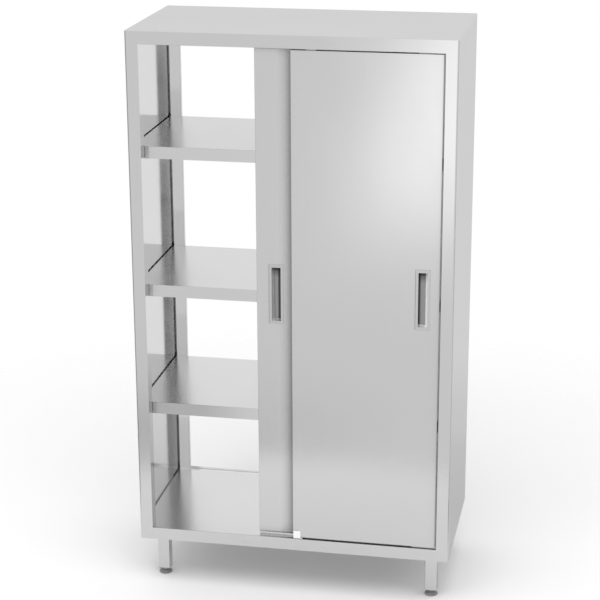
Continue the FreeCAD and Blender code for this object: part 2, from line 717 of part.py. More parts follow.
def door_handle(side, run):
    """A recessed pull: a thin flange round a cup with an undercut on one side, a slope on the other."""
    hand = 1 if side == "right" else -1
    body = new_body()
    flat = sketch(body, "XZ")
    rectangle(flat, "0 - handle_width/2", "handle_width/2", "0 - handle_length/2", "handle_length/2")
    flange = pad(body, flat, "handle_flange")
    round_edges(body, flange, lambda p, run_: near(p.y, 0) and near(run_.y, 0), "handle_edge")
    low, high = ("cup_left", "cup_right") if side == "right" else ("cup_right", "cup_left")
    shell = sketch(body, "XZ", "handle_flange")
    reach = "mouth_length/2 + cup_wall"
    rectangle(shell, f"0 - ({low})", high, f"0 - ({reach})", reach)
    pad(body, shell, "cup_depth + cup_wall")
    lip_y, floor_y, half = "handle_flange + cup_lip", "handle_flange + cup_depth", "mouth_width/2"
    corners = [(f"0 - {half}", "0 - handle_flange"), (half, "0 - handle_flange"), (half, lip_y),
               (f"{half} - cup_slope", floor_y), (f"0 - {half} - cup_undercut/2", floor_y),
               (f"0 - {half} - cup_undercut", f"{floor_y} - cup_undercut/2"),
               (f"0 - {half} - cup_undercut", f"{lip_y} + cup_undercut/2"), (f"0 - {half}", lip_y)]
    cavity = sketch(body, "XY", "0 - mouth_length/2")
    pocket(body, outline(cavity, [(f"{hand}*({x})", y) for x, y in corners]), "mouth_length")
    door_place(body, side, run, handle_x(side), "0 - handle_flange", f"{side}_handle_height - door_low")
    keep(f"{side}_door_handle", body)


def hanger(side, run, x):
    """A cranked plate: its foot lies on the inner skin, its head stands up inside the track."""
    low, bend = "door_height - door_skin - hanger_drop", "door_height - hanger_jog"
    skin_y, centre = "door_thickness - door_skin", "door_thickness/2"
    half, top = "hanger_plate/2", "axle_height - door_low + hanger_crown"
    body = new_body()
    outline(profile := sketch(body, "YZ"),
            [(f"{skin_y} - hanger_plate", low), (skin_y, low), (skin_y, bend), (f"{centre} + {half}", bend),
             (f"{centre} + {half}", top), (f"{centre} - {half}", top),
             (f"{centre} - {half}", f"{bend} - hanger_plate"),
             (f"{skin_y} - hanger_plate", f"{bend} - hanger_plate")])
    pad(body, profile, "hanger_width")
    eye = circle(sketch(body, "XZ"), "hanger_width/2", "axle_height - door_low", "pin_radius")
    pocket(body, eye, centre + " + hanger_plate")
    holes = sketch(body, "XZ", f"{skin_y} - hanger_plate")
    for k in (-1, 1):
        circle(holes, f"hanger_width/2 + {k}*screw_pitch/2", f"{low} + screw_rise", "screw_radius")
    pocket(body, holes, "hanger_plate")
    return door_place(body, side, run, f"{x} - hanger_width/2")


def rod(side, run, radius, length, x, y, z):
    """A cylinder lying along the door's thickness, starting at y."""
    item = bind(doc.addObject("Part::Cylinder", "Cylinder"), Radius=radius, Height=length)
    item.Placement.Rotation = FreeCAD.Rotation(Vector(1, 0, 0), -90)
    return door_place(item, side, run, x, y, z)


def axle_pin(side, run, x):
    """A pin riveted through the hanger's head, with a roller on each end."""
    reach = "hanger_plate/2 + roller_gap + roller_width"
    return rod(side, run, "pin_radius", f"2*({reach})", x, f"door_thickness/2 - ({reach})",
               "axle_height - door_low")


def hanger_screw(side, run, x, z):
    grip = "door_skin + hanger_plate"
    shank = rod(side, run, "screw_radius", grip, x, f"door_thickness - ({grip})", z)
    return fused(shank, rod(side, run, "screw_head", "screw_head_height", x, "door_thickness", z))


def rollers(label, side, run, x):
    """The two rollers of one hanger: grooved treads, one on each side of its plate."""
    pair = []
    for start in ("0 - hanger_plate/2 - roller_gap - roller_width", "hanger_plate/2 + roller_gap"):
        body = new_body()
        bore = "pin_radius + roller_bore_fit"
        corners = [(bore, 0), ("roller_radius", 0), ("roller_radius", "roller_width/3"),
                   ("roller_radius - roller_groove", "roller_width/2"),
                   ("roller_radius", "2*roller_width/3"), ("roller_radius", "roller_width"),
                   (bore, "roller_width")]
        turned(body, outline(sketch(body, "XY"), corners))
        pair.append(door_place(body, side, run, x, f"door_thickness/2 + {start}", "axle_height - door_low"))
    group(label, pair)


def door(side, run):
    """One hung door with everything that travels with it, and the rollers that turn on it."""
    door_outer_skin(side, run)
    door_inner_skin(side, run)
    door_core(side, run)
    door_handle(side, run)
    centres = hanger_centres(side)
    group(f"{side}_door_hangers", [hanger(side, run, x) for x in centres])
    group(f"{side}_door_axle_pins", [axle_pin(side, run, x) for x in centres])
    group(f"{side}_door_hanger_screws", [hanger_screw(side, run, x, z) for x, z in hanger_screw_places(side)])
    for name, x in zip(("left", "right"), centres):
        rollers(f"{side}_door_{name}_rollers", side, run, x)


# ---------------------------------------------------------------- assembly
SIDES, ENDS, LEVELS = ("left", "right"), ("front", "rear"), ("top", "bottom")
CORNERS = [(side, end) for end in ENDS for side in SIDES]
SHELVES = {name: f"{name}_shelf_height" for name in ("upper", "middle", "lower")}

for side, end in CORNERS:
    post(f"{end}_{side}_post", side, end)
for level in LEVELS:
    for end in ENDS:
        cross_rail(f"{end}_{level}_rail", end, level)
    for side in SIDES:
        side_rail(f"{side}_{level}_rail", side, level)
for side in SIDES:
    side_panel(f"{side}_side_panel", side)
    leg_beam(f"{side}_leg_beam", side)
top_panel()
bottom_deck()
for name, height in SHELVES.items():
    shelf(f"{name}_shelf", height)
group("shelf_stiffeners", [stiffener(height) for height in SHELVES.values()])
group("shelf_brackets", [bracket(side, end, height) for height in SHELVES.values() for side, end in CORNERS])
for side, end in CORNERS:
    leg(f"{end}_{side}_leg", side, end)
    foot_stem(f"{end}_{side}_foot_stem", side, end)
    foot_pad(f"{end}_{side}_foot_pad", side, end)
group("leg_inserts", [leg_insert(side, end) for side, end in CORNERS])
door_track()
track_rivets()
track_stops()
door_guide()
guide_screws()
door("right", "front_run")
door("left", "rear_run")

# ---------------------------------------------------------------- checks and export
doc.recompute()
for item in doc.Objects:
    if "Invalid" in item.State or "Error" in item.State:
        raise RuntimeError(f"{item.Name} ({item.Label}) failed: {item.State}")
for label, item in subparts.items():
    if item.Shape.isNull() or not item.Shape.isValid() or not item.Shape.Solids:
        raise RuntimeError(f"{label} has no valid solid")

os.makedirs("parts", exist_ok=True)
for label, item in subparts.items():
    item.Shape.exportStep(os.path.join("parts", label + ".step"))
print(len(subparts), "sub-parts written")
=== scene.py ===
"""Stainless steel sliding door cabinet: finishes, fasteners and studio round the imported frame."""
import json
import math

import bpy
import numpy as np
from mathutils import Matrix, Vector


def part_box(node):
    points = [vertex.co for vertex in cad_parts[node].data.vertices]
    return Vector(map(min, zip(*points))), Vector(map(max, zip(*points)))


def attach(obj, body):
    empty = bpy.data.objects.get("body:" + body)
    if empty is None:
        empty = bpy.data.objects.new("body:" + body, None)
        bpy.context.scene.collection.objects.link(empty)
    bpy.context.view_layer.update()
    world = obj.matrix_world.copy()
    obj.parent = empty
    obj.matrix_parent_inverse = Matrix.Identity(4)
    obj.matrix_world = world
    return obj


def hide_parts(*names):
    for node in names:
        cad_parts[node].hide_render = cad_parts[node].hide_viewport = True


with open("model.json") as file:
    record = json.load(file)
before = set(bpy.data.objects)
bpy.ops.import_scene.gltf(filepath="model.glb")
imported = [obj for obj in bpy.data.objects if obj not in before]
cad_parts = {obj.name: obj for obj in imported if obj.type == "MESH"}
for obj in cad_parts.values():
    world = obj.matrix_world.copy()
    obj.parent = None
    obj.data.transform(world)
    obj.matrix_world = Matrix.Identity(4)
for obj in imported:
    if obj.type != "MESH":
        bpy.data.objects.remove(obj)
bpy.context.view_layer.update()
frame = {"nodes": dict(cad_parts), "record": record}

MM = 0.001
SIDES = ("left", "right")
CORNERS = [(side, end) for end in ("front", "rear") for side in SIDES]

# places in the frame by which a finish changes
POST_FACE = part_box("front_right_post")[0][0]    # the front posts' inner faces are that far each side
DECK_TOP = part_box("door_guide")[0][2]
RAIL_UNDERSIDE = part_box("front_top_rail")[0][2]
LIP_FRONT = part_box("lower_shelf")[0][1]         # the front faces of all three shelves' lips
SLIT_FRONT, SLIT_BACK = (corner[1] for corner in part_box("rear_left_post"))
PANEL_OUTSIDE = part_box("right_side_panel")[1][0]
LEFT_DOOR, RIGHT_DOOR = (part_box(f"{side}_door_outer_skin")[0] for side in SIDES)


# ------------------------------------------------------------------ shader maths
class Field:
    """A socket that carries a number, so that shader maths reads as arithmetic."""

    def __init__(self, finish, socket):
        self.finish, self.socket = finish, socket

    def _math(self, operation, *values):
        node = self.finish.node("ShaderNodeMath", {"operation": operation}, dict(enumerate(values)))
        return Field(self.finish, node.outputs[0])

    def __add__(self, other):
        return self._math("ADD", self, other)

    def __sub__(self, other):
        return self._math("SUBTRACT", self, other)

    def __rsub__(self, other):
        return self._math("SUBTRACT", other, self)

    def __mul__(self, other):
        return self._math("MULTIPLY", self, other)

    __radd__, __rmul__ = __add__, __mul__

    def sqrt(self):
        return self._math("SQRT", self)

    def size(self):
        return self._math("ABSOLUTE", self)

    def over(self, low, high):
        """Nothing below low, all above high, and a smooth rise between."""
        settings = {"interpolation_type": "SMOOTHSTEP"}
        node = self.finish.node("ShaderNodeMapRange", settings, {0: self, 1: low, 2: high})
        return Field(self.finish, node.outputs[0])

    def under(self, low, high):
        """All below low, nothing above high, and a smooth fall between."""
        return 1.0 - self.over(low, high)

    def band(self, low, high, soft):
        """All between low and high, less a soft edge at either end, and nothing outside."""
        return self.over(low, low + soft) * self.under(high - soft, high)


class Finish:
    """A node tree being filled: a material, or the light all round."""

    def __init__(self, owner):
        owner.use_nodes = True
        self.owner, self.tree = owner, owner.node_tree
        self.tree.nodes.clear()

    def node(self, kind, settings=None, inputs=None):
        """One node: its settings first, then the values or links of its sockets."""
        made = self.tree.nodes.new(kind)
        for name, value in (settings or {}).items():
            setattr(made, name, value)
        for key, value in (inputs or {}).items():
            if isinstance(value, Field):
                value = value.socket
            if isinstance(value, bpy.types.NodeSocket):
                self.tree.links.new(value, made.inputs[key])
            else:
                made.inputs[key].default_value = value
        return made

    def axes(self, output="Object"):
        """The x, y and z of a texture coordinate."""
        place = self.node("ShaderNodeTexCoord").outputs[output]
        parts = self.node("ShaderNodeSeparateXYZ", None, {0: place})
        return [Field(self, axis) for axis in parts.outputs]

    def crevice(self, reach, lean):
        """How open the surface is to a light that leans that way, by what stands within reach."""
        facing = self.node("ShaderNodeNewGeometry").outputs["Normal"]
        leant = self.node("ShaderNodeVectorMath", {"operation": "ADD"}, {0: facing, 1: lean})
        leant = self.node("ShaderNodeVectorMath", {"operation": "NORMALIZE"}, {0: leant.outputs[0]})
        inputs = {"Distance": reach, "Normal": leant.outputs[0]}
        made = self.node("ShaderNodeAmbientOcclusion", {"samples": 8}, inputs)
        return Field(self, made.outputs["AO"])

    def noise(self, cells, detail=2.0, roughness=0.5):
        """Noise over the object's own coordinates, with that many cells to the metre each way."""
        coordinates = self.node("ShaderNodeTexCoord").outputs["Object"]
        mapped = self.node("ShaderNodeMapping", None, {"Vector": coordinates, "Scale": cells})
        inputs = {"Vector": mapped.outputs[0], "Scale": 1.0, "Detail": detail, "Roughness": roughness}
        return Field(self, self.node("ShaderNodeTexNoise", None, inputs).outputs["Fac"])

    def tint(self, amount, low, high):
        """A colour between two others, each a triple or a socket."""
        low, high = ((*end, 1) if isinstance(end, tuple) else end for end in (low, high))
        made = self.node("ShaderNodeMix", {"data_type": "RGBA"}, {0: amount, 6: low, 7: high})
        return made.outputs[2]

    def relief(self, height, depth, under=None):
        """A bump of that height, with depth metres to 1, laid over another relief."""
        inputs = {"Height": height, "Distance": depth, "Strength": 1.0}
        if under is not None:
            inputs["Normal"] = under
        return self.node("ShaderNodeBump", None, inputs).outputs[0]

    def surface(self, **sockets):
        """The principled surface; sockets are named with underscores for spaces."""
        inputs = {name.replace("_", " "): value for name, value in sockets.items()}
        shader = self.node("ShaderNodeBsdfPrincipled", None, inputs)
        self.node("ShaderNodeOutputMaterial", None, {"Surface": shader.outputs[0]})
        return self.owner


def new_finish(name):
    return Finish(bpy.data.materials.new(name))


# ------------------------------------------------------------------ finishes
ACROSS, ALONG = 1400.0, 5.0             # grain lines to the metre, and how many times one starts anew
COARSER = 5                             # how much wider the second, coarse grain is
CONTRAST = 0.035                        # how far the grain's colour goes either side of the shade
GRAIN_DEPTH = 0.000004
# the colours that painted shade and painted highlights go towards
UNLIT, WHITE = (0.02, 0.02, 0.02), (0.95, 0.95, 0.95)


def satin_steel(name, grain, shade, roughness, waviness, crevice=None, local=None):
    """Ground stainless sheet: fine grain along one axis, a slow waviness and faint smears.

    Crevice, where given, paints shade on the steel near other pieces: its reach, the light that is
    left, the lean of the light, and where it counts. Local, where given, makes any of these from x,
    y and z: a share of light left by painted shade, a share of white for a painted highlight, a rise
    of the face in metres, an added roughness and a share of metal.
    """
    finish = new_finish(name)
    hairs = finish.noise([ALONG if axis == grain else ACROSS for axis in "xyz"], 3.0, 0.65)
    coarse = finish.noise([ALONG if axis == grain else ACROSS / COARSER for axis in "xyz"])
    grain_mix = hairs * 0.6 + coarse * 0.4
    smear = finish.noise((5.0, 5.0, 3.0), 3.0, 0.6).over(0.42, 0.72)
    dull = (grain_mix - 0.5) * 0.05 + smear * 0.025 + roughness
    low, high = (tuple(value * factor for value in shade) for factor in (1 - CONTRAST, 1 + CONTRAST))
    colour = finish.tint(grain_mix, low, high)
    wavy = finish.relief(finish.noise((2.2, 2.2, 1.4), 0.0), waviness)
    made = local(*finish.axes()) if local else {}
    # painted light and shade, and painted highlights, laid into the colour by place
    if "light" in made:
        colour = finish.tint(made["light"], UNLIT, colour)
    if "white" in made:
        colour = finish.tint(made["white"], colour, WHITE)
    if "rise" in made:
        wavy = finish.relief(made["rise"], 1.0, wavy)
    if "rough" in made:
        dull = dull + made["rough"]
    # painted shade where other pieces stand near
    if crevice:
        closed = finish.crevice(crevice["reach"], crevice["lean"]).under(0.2, 0.8)
        closed = closed * crevice["where"](*finish.axes())
        colour = finish.tint(closed, colour, (crevice["light"] * shade[0],) * 3)
    return finish.surface(Base_Color=colour, Metallic=made.get("metal", 1.0), Roughness=dull,
                          Normal=finish.relief(grain_mix, GRAIN_DEPTH, wavy))


# The functions from here to but_left_edge lay light and shade on a piece by its own place. They
# stand in for what the steel's own reflections fall short of, were set for the one camera below,
# and add no shape.
def pull_cup(side, slopes_to, slope_light, sill_light, shade_ends):
    """Light and dullness painted inside a recessed pull, by depth and by distance from its middle.

    One wall slopes and is light, and so is the sill at the bottom; the other side is in shade, and
    the top of the cup is darker in two steps.
    """
    low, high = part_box(f"{side}_door_handle")
    front, bottom, top, middle = low[1], low[2], high[2], (low[0] + high[0]) / 2

    def local(x, y, z):
        depth = (y - front).over(0.001, 0.004)
        across = (x - middle) * slopes_to
        slope = across.over(0.0055, 0.008) * depth * slope_light
        sill = z.under(bottom + 0.012, bottom + 0.016) * depth * sill_light
        shade = across.under(*shade_ends) * 0.8
        under_top = z.over(top - 0.048, top - 0.022) * 0.5 + z.over(top - 0.024, top - 0.018) * 0.38
        floor_light = (1.0 - shade) * (1.0 - under_top) * 0.62
        bright = slope + sill * (1.0 - slope)
        return {"light": 1.0 - depth * (1.0 - floor_light) * (1.0 - bright), "rough": depth * 0.3,
                "metal": 1.0 - bright * 0.9, "white": bright * (1.0 - under_top)}
    return local


def shaded(where, share):
    """A face that loses that share of its light where it counts."""
    return {"light": 1.0 - where * share}


def slit_wall(x, y, z):
    """A side panel's skin, with painted shade inside the closed slit beside the rear post."""
    slit = y.over(SLIT_FRONT - 0.0035, SLIT_FRONT - 0.0005)
    slit = slit * y.under(SLIT_BACK + 0.0002, SLIT_BACK + 0.0007)
    inside = x.size().under(PANEL_OUTSIDE - 0.0008, PANEL_OUTSIDE - 0.0003)
    return shaded(slit * inside, 0.35)


def rear_post_face(x, y, z):
    """A rear post, shaded as if its flat front face turned a little towards the middle."""
    return {"rise": x.size() * 0.22}


def lip(y):
    """The front faces of the shelves' lips."""
    return y.under(LIP_FRONT + 0.0013, LIP_FRONT + 0.0018)


def lip_end(x, y, z):
    """A shelf, whose lip has a painted reflection, darker where it mirrors the left post."""
    return shaded(x.under(0.011 - POST_FACE, 0.0145 - POST_FACE) * lip(y), 0.18)


def lower_lip(x, y, z):
    """The lower shelf, whose lip has a painted reflection, darker towards the left."""
    return shaded(x.under(-0.33, -0.12) * lip(y), 0.24)


def right_post_edge(x, y, z):
    """The front right post, whose inner face has painted shade for the closed gap beside the door."""
    opening = z.band(DECK_TOP - 0.0005, RAIL_UNDERSIDE + 0.0005, 0.0015)
    return shaded(x.under(POST_FACE + 0.0016, POST_FACE + 0.0022) * opening, 0.88)


def left_post_edge(x, y, z):
    """The front left post, whose inner face has painted shade low down and painted reflections of the lips.
    """
    mirrored = 0.008                    # how far over a lip the camera sees its mirror image
    dark = z.under(0.62, 0.78) * 0.3
    for shelf in ("middle_shelf", "upper_shelf"):
        low, high = (corner[2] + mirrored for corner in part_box(shelf))
        dark = dark + z.band(low, high, 0.001) * 0.18
    inner_face = x.over(-POST_FACE - 0.0006, -POST_FACE - 0.0001)
    return shaded(inner_face * dark, 1.0)


def deck_fold(x, y, z):
    """The deck, with painted light over its rear and its upturn, the upturn shaded as if it leant to the
    right.
    """
    upturn = z.over(DECK_TOP + 0.0001, DECK_TOP + 0.0003)
    return {"white": y.over(SLIT_FRONT - 0.0065, SLIT_FRONT - 0.0045),
            "rise": upturn * x.over(-0.45, -0.3) * -0.02}


def under_doors(x, y, z):
    """Where the deck takes painted shade: its front, where a door stands just over it; the left one stands
    further back.
    """
    beside = x.under(RIGHT_DOOR[0] - 0.023, RIGHT_DOOR[0] - 0.008)
    return (y + beside * 0.003).under(RIGHT_DOOR[1] + 0.0075, RIGHT_DOOR[1] + 0.009)


def but_left_edge(x, y, z):
    """Where the doors take painted shade: all but the bottom edge of the left one."""
    left_door = y.over(LEFT_DOOR[1] - 0.0025, LEFT_DOOR[1] - 0.0015)
    return 1.0 - left_door * z.under(LEFT_DOOR[2] + 0.002, LEFT_DOOR[2] + 0.004)


def zinc_steel(name):
    """Bright plated steel with a faint mottle."""
    finish = new_finish(name)
    mottle = finish.noise((260.0, 260.0, 260.0), 4.0, 0.6)
    return finish.surface(
        Base_Color=finish.tint(mottle, (0.52, 0.52, 0.51), (0.66, 0.66, 0.67)),
        Metallic=1.0,
        Roughness=mottle * 0.16 + 0.18,
        Normal=finish.relief(mottle, 0.00002),
    )


def drawn_aluminium(name):
    """An extrusion: die lines along its length under a thin natural anodising."""
    finish = new_finish(name)
    lines = finish.noise((4.0, 900.0, 900.0), 3.0, 0.7)
    return finish.surface(
        Base_Color=finish.tint(lines, (0.66, 0.66, 0.67), (0.78, 0.78, 0.79)),
        Metallic=1.0,
        Roughness=lines * 0.15 + 0.28,
        Normal=finish.relief(lines, 0.00001),
    )


def moulded_plastic(name, low, high, roughness, grain=900.0, depth=0.00002, foot=None):
    """Moulded plastic or rubber: a fine even texture, a slow change of colour and dull patches.

    Foot, where given, is the height of a line of painted shade along its lower edge.
    """
    finish = new_finish(name)
    pebble = finish.noise((grain, grain, grain), 3.0, 0.55)
    cloud = finish.noise((35.0, 35.0, 35.0))
    colour = finish.tint(pebble * 0.3 + cloud * 0.7, low, high)
    if foot:
        colour = finish.tint(finish.axes()[2].over(foot - 0.0006, foot), (0.3, 0.3, 0.3), colour)
    return finish.surface(
        Base_Color=colour,
        Roughness=cloud * 0.14 + pebble * 0.08 + roughness,
        Normal=finish.relief(pebble, depth),
    )


def fibre_board(name):
    """Pressed board: short fibres in two directions."""
    finish = new_finish(name)
    fibres = finish.noise((220.0, 220.0, 40.0), 5.0, 0.7)
    crossed = finish.noise((40.0, 220.0, 220.0), 5.0, 0.7)
    both = (fibres + crossed) * 0.5
    return finish.surface(
        Base_Color=finish.tint(both.over(0.35, 0.65), (0.36, 0.25, 0.15), (0.66, 0.52, 0.36)),
        Roughness=both * 0.2 + 0.68,
        Normal=finish.relief(both, 0.0002),
    )


BODY = {"shade": (0.75, 0.75, 0.752), "roughness": 0.10, "waviness": 0.00012}
DOOR = BODY | {"waviness": 0.00016}
SHELF = {"shade": (0.75, 0.75, 0.75), "roughness": 0.24, "waviness": 0.00008}
PULL = {"shade": (0.66, 0.66, 0.665), "roughness": 0.2, "waviness": 0.00004}
PULL_CUPS = {
    "left": {"slopes_to": -1, "slope_light": 0.35, "sill_light": 0.3, "shade_ends": (-0.006, -0.002)},
    "right": {"slopes_to": 1, "slope_light": 1.0, "sill_light": 0.5, "shade_ends": (-0.0125, -0.006)},
}
# painted shade on the doors beside other pieces, and on the deck's front under the doors
DOOR_PAINTED_SHADE = {"reach": 0.045, "light": 0.35, "lean": (1.0, 0.0, 0.0), "where": but_left_edge}
DECK_PAINTED_SHADE = {"reach": 0.05, "light": 0.3, "lean": (0.0, 1.0, 0.0), "where": under_doors}

upright_steel = satin_steel("satin_steel_upright", "z", **BODY)
level_steel = satin_steel("satin_steel_level", "x", **BODY)
deep_steel = satin_steel("satin_steel_deep", "y", **BODY)
skin_steel = satin_steel("satin_steel_skin", "z", **BODY, local=slit_wall)
left_post_steel = satin_steel("satin_steel_left_post", "z", **BODY, local=left_post_edge)
right_post_steel = satin_steel("satin_steel_right_post", "z", **BODY, local=right_post_edge)
rear_steel = satin_steel("satin_steel_rear_post", "z", **BODY, local=rear_post_face)
door_steel = satin_steel("satin_steel_door", "z", **DOOR, crevice=DOOR_PAINTED_SHADE)
shelf_steel = satin_steel("satin_steel_shelf", "x", **SHELF, local=lip_end)
lower_steel = satin_steel("satin_steel_lower_shelf", "x", **SHELF, local=lower_lip)
deck_steel = satin_steel("satin_steel_deck", "x", **SHELF, crevice=DECK_PAINTED_SHADE, local=deck_fold)
plated = zinc_steel("zinc_plate")
weld_steel = zinc_steel("weld_steel")
aluminium = drawn_aluminium("anodised_aluminium")
board = fibre_board("fibre_board")
# the guide's nylon has a line of painted shade along its foot
white_nylon = moulded_plastic("white_nylon", (0.86, 0.86, 0.84), (0.93, 0.93, 0.92), 0.34,
                              foot=DECK_TOP + 0.0029)
roller_nylon = moulded_plastic("roller_nylon", (0.78, 0.78, 0.75), (0.86, 0.86, 0.83), 0.26)
foot_plastic = moulded_plastic("dark_grey_plastic", (0.2, 0.2, 0.205), (0.28, 0.28, 0.285), 0.22)
black_rubber = moulded_plastic("black_rubber", (0.02, 0.02, 0.02), (0.05, 0.05, 0.05), 0.66,
                               grain=500.0, depth=0.00005)

FINISHES = {
    "panel_steel": upright_steel, "shelf_steel": shelf_steel, "door_steel": door_steel,
    "fixing_steel": plated, "track_aluminium": aluminium, "core_board": board,
    "stop_rubber": black_rubber, "guide_nylon": white_nylon, "roller_nylon": roller_nylon,
    "foot_plastic": foot_plastic,
}
NODE_FINISHES = {
    "top_panel": level_steel, "shelf_brackets": level_steel, "bottom_deck": deck_steel,
    "lower_shelf": lower_steel, "front_left_post": left_post_steel, "front_right_post": right_post_steel,
}
for side in SIDES:
    cup = pull_cup(side, **PULL_CUPS[side])
    pull_steel = satin_steel(f"satin_steel_{side}_pull", "z", **PULL, local=cup)
    NODE_FINISHES |= {f"rear_{side}_post": rear_steel, f"{side}_side_panel": skin_steel,
                      f"{side}_door_handle": pull_steel}


def finish_of(node, slot):
    """A subpart's own finish, or else its slot's; in the frame's tubes the grain runs lengthways."""
    if node in NODE_FINISHES:
        return NODE_FINISHES[node]
    if slot != "frame_steel":
        return FINISHES[slot]
    if node.startswith(SIDES) and node.endswith(("rail", "beam")):
        return deep_steel
    return level_steel if node.endswith("rail") else upright_steel


for part in frame["record"]["subparts"]:
    materials = frame["nodes"][part["node"]].data.materials
    materials.clear()
    materials.append(finish_of(part["node"], part["material_slot"]))


# ------------------------------------------------------------------ surfaces
LIFT = 0.00002                          # how far a new piece keeps off the face behind it
SHARP = math.radians(32)                # edges past this angle stay sharp


def quads(rows, columns, closed_rows=False, closed_columns=False):
    """Faces of a grid of points; a closed side joins its last line to its first."""
    i = np.arange(rows if closed_rows else rows - 1)
    j = np.arange(columns if closed_columns else columns - 1)
    i, j = (part.ravel() for part in np.meshgrid(i, j, indexing="ij"))
    below, beside = (i + 1) % rows, (j + 1) % columns
    corners = (i * columns + j, below * columns + j, below * columns + beside, i * columns + beside)
    return np.stack(corners, axis=1)


def piece(name, shell, material, body, stands_for=()):
    """A mesh made of a shell's points and faces, finished, riding on a body."""
    points, faces = shell
    mesh = bpy.data.meshes.new(name)
    mesh.from_pydata(points.tolist(), [], faces.tolist())
    mesh.validate()
    mesh.materials.append(material)
    mesh.shade_smooth()
    mesh.set_sharp_from_angle(angle=SHARP)
    made = bpy.data.objects.new(name, mesh)
    bpy.context.scene.collection.objects.link(made)
    if stands_for:
        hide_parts(*stands_for)
    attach(made, body)


def joined(shells):
    """Several (points, faces) as one."""
    starts = np.cumsum([0] + [len(points) for points, _ in shells[:-1]])
    points = np.concatenate([points for points, _ in shells])
    return points, np.concatenate([faces + start for start, (_, faces) in zip(starts, shells)])


def turned(radius, height):
    """A closed surface turned about Z, from rows of its radius and height at each angle t.

    Point (k, t) is (r_k(t) cos t, r_k(t) sin t, z_k(t)), and a radius may be the same all round;
    each end is closed by a point on the axis. The profile runs up the outside, so that the faces
    look outward.
    """
    radius, height = (np.asarray(values).reshape(len(values), -1) for values in (radius, height))
    radius, height = np.broadcast_arrays(radius, height)
    rows, turns = radius.shape
    angle = np.linspace(0, 2 * math.pi, turns, endpoint=False)
    rings = np.stack([radius * np.cos(angle), radius * np.sin(angle), height], axis=-1)
    ends = [[0, 0, height[0].mean()], [0, 0, height[-1].mean()]]
    points = np.concatenate([rings.reshape(-1, 3), ends])
    sides = quads(rows, turns, closed_columns=True)[:, ::-1]
    here, after = np.arange(turns), np.roll(np.arange(turns), -1)
    bottom, top = np.full(turns, rows * turns), np.full(turns, rows * turns + 1)
    last = (rows - 1) * turns
    caps = np.stack([after, here, bottom], axis=1), np.stack([last + here, last + after, top], axis=1)
    return points, np.concatenate([sides[:, [0, 1, 2]], sides[:, [0, 2, 3]], *caps])


def level_rows(profile, turns):
    """Rows of radius and height for (radius, height) pairs that are the same all round."""
    return [np.repeat(np.array(values, float)[:, None], turns, axis=1) for values in zip(*profile)]


def stacked_rows(*rows):
    """Several rows of radius and height as one."""
    return [np.concatenate(values) for values in zip(*rows)]


def ramp(value, low, high):
    """Nothing below low, one above high."""
    return np.clip((value - low) / (high - low), 0, 1)


def stood(shell, place, facing="up"):
    """A shell made about Z in millimetres moved to its place, its top up or towards the back."""
    points, faces = shell
    if facing == "back":
        points = points[:, [0, 2, 1]] * (1, 1, -1)
    return points * MM + np.asarray(place), faces


def middle_of(low, high):
    """The middle of a box seen from above, on the ground."""
    return (low[0] + high[0]) / 2, (low[1] + high[1]) / 2, 0


# ------------------------------------------------------------------ feet
STEM_TURNS, PAD_TURNS = 48, 144         # points round a stem and round a pad
THREAD_RADIUS, THREAD_DEPTH, PITCH = 4.99, 0.55, 1.5
NUT_HEIGHT, NUT_EDGE = 5, 0.7
RIBS, RIB_DEPTH = 12, 0.75


def thread(low, high):
    """Rows of a helical thread: r = radius - depth (1 + cos 2 pi (z / pitch - t / 2 pi)) / 2.

    The depth fades in and out over one pitch at either end.
    """
    height = np.arange(low, high, PITCH / 6)
    share = np.linspace(0, 1, STEM_TURNS, endpoint=False)
    wave = np.cos(2 * math.pi * (height[:, None] / PITCH - share))
    fade = ramp(height, low, low + PITCH) * ramp(-height, -high, PITCH - high)
    radius = THREAD_RADIUS - THREAD_DEPTH * fade[:, None] * (1 + wave) / 2
    return radius, np.repeat(height[:, None], STEM_TURNS, axis=1)


def hexagon(low, corner):
    """Rows of a chamfered hexagon: its flats r = a / cos(t mod 60 - 30), cut by a cone at each end."""
    high = low + NUT_HEIGHT
    angle = np.linspace(0, 2 * math.pi, STEM_TURNS, endpoint=False)
    flats = corner * math.cos(math.pi / 6) / np.cos(angle % (math.pi / 3) - math.pi / 6)
    height = np.concatenate([np.linspace(low, low + NUT_EDGE, 5), np.linspace(high - NUT_EDGE, high, 5)])
    cone = corner - 1.5 * NUT_EDGE + 1.5 * np.minimum(height - low, high - height)
    return np.minimum(flats, cone[:, None]), np.repeat(height[:, None], STEM_TURNS, axis=1)


def foot_stem(side, end):
    """A threaded stem with a chamfered hexagon to turn it by, in the place of the plain one."""
    node = f"{end}_{side}_foot_stem"
    low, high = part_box(node)
    bottom, top, corner = low[2] / MM, high[2] / MM, (high[0] - low[0]) / 2 / MM
    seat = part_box(f"{end}_{side}_foot_pad")[1][2] / MM
    rows = stacked_rows(
        level_rows([(3.9, bottom)], STEM_TURNS),
        thread(bottom + 0.4, seat),
        hexagon(seat, corner),
        thread(seat + NUT_HEIGHT + 0.01, top - 0.6),
        level_rows([(4.6, top)], STEM_TURNS),
    )
    shell = stood(turned(*rows), middle_of(low, high))
    piece(f"{end}_{side}_threaded_stem", shell, plated, f"{end}_{side}_foot", (node,))


